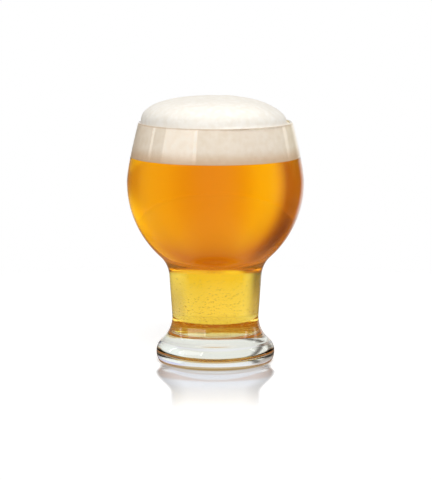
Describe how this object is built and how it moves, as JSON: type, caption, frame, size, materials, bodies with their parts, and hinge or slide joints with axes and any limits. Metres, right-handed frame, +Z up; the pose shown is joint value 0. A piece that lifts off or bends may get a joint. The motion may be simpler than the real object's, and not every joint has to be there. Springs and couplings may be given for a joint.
{
  "type": "filled beer glass",
  "caption": "Stemless globe beer glass with a short tapered neck and a thick rolled foot, filled with amber beer under a domed head of foam.",
  "frame": {"origin": "centre of the base ring, on the surface that the glass stands on", "axes": "+Z up along the turning axis; +X to the right and -Y towards the viewer of the picture, so the foam's fuller shoulder is on -X"},
  "size_m": [0.1, 0.1, 0.1494],
  "materials": {
    "clear_glass": "polished",
    "amber_beer": "polished",
    "white_foam": "matte"
  },
  "bodies": {
    "root": {"glass": "clear_glass", "beer": "amber_beer", "foam_head": "white_foam"}
  },
  "joints": []
}
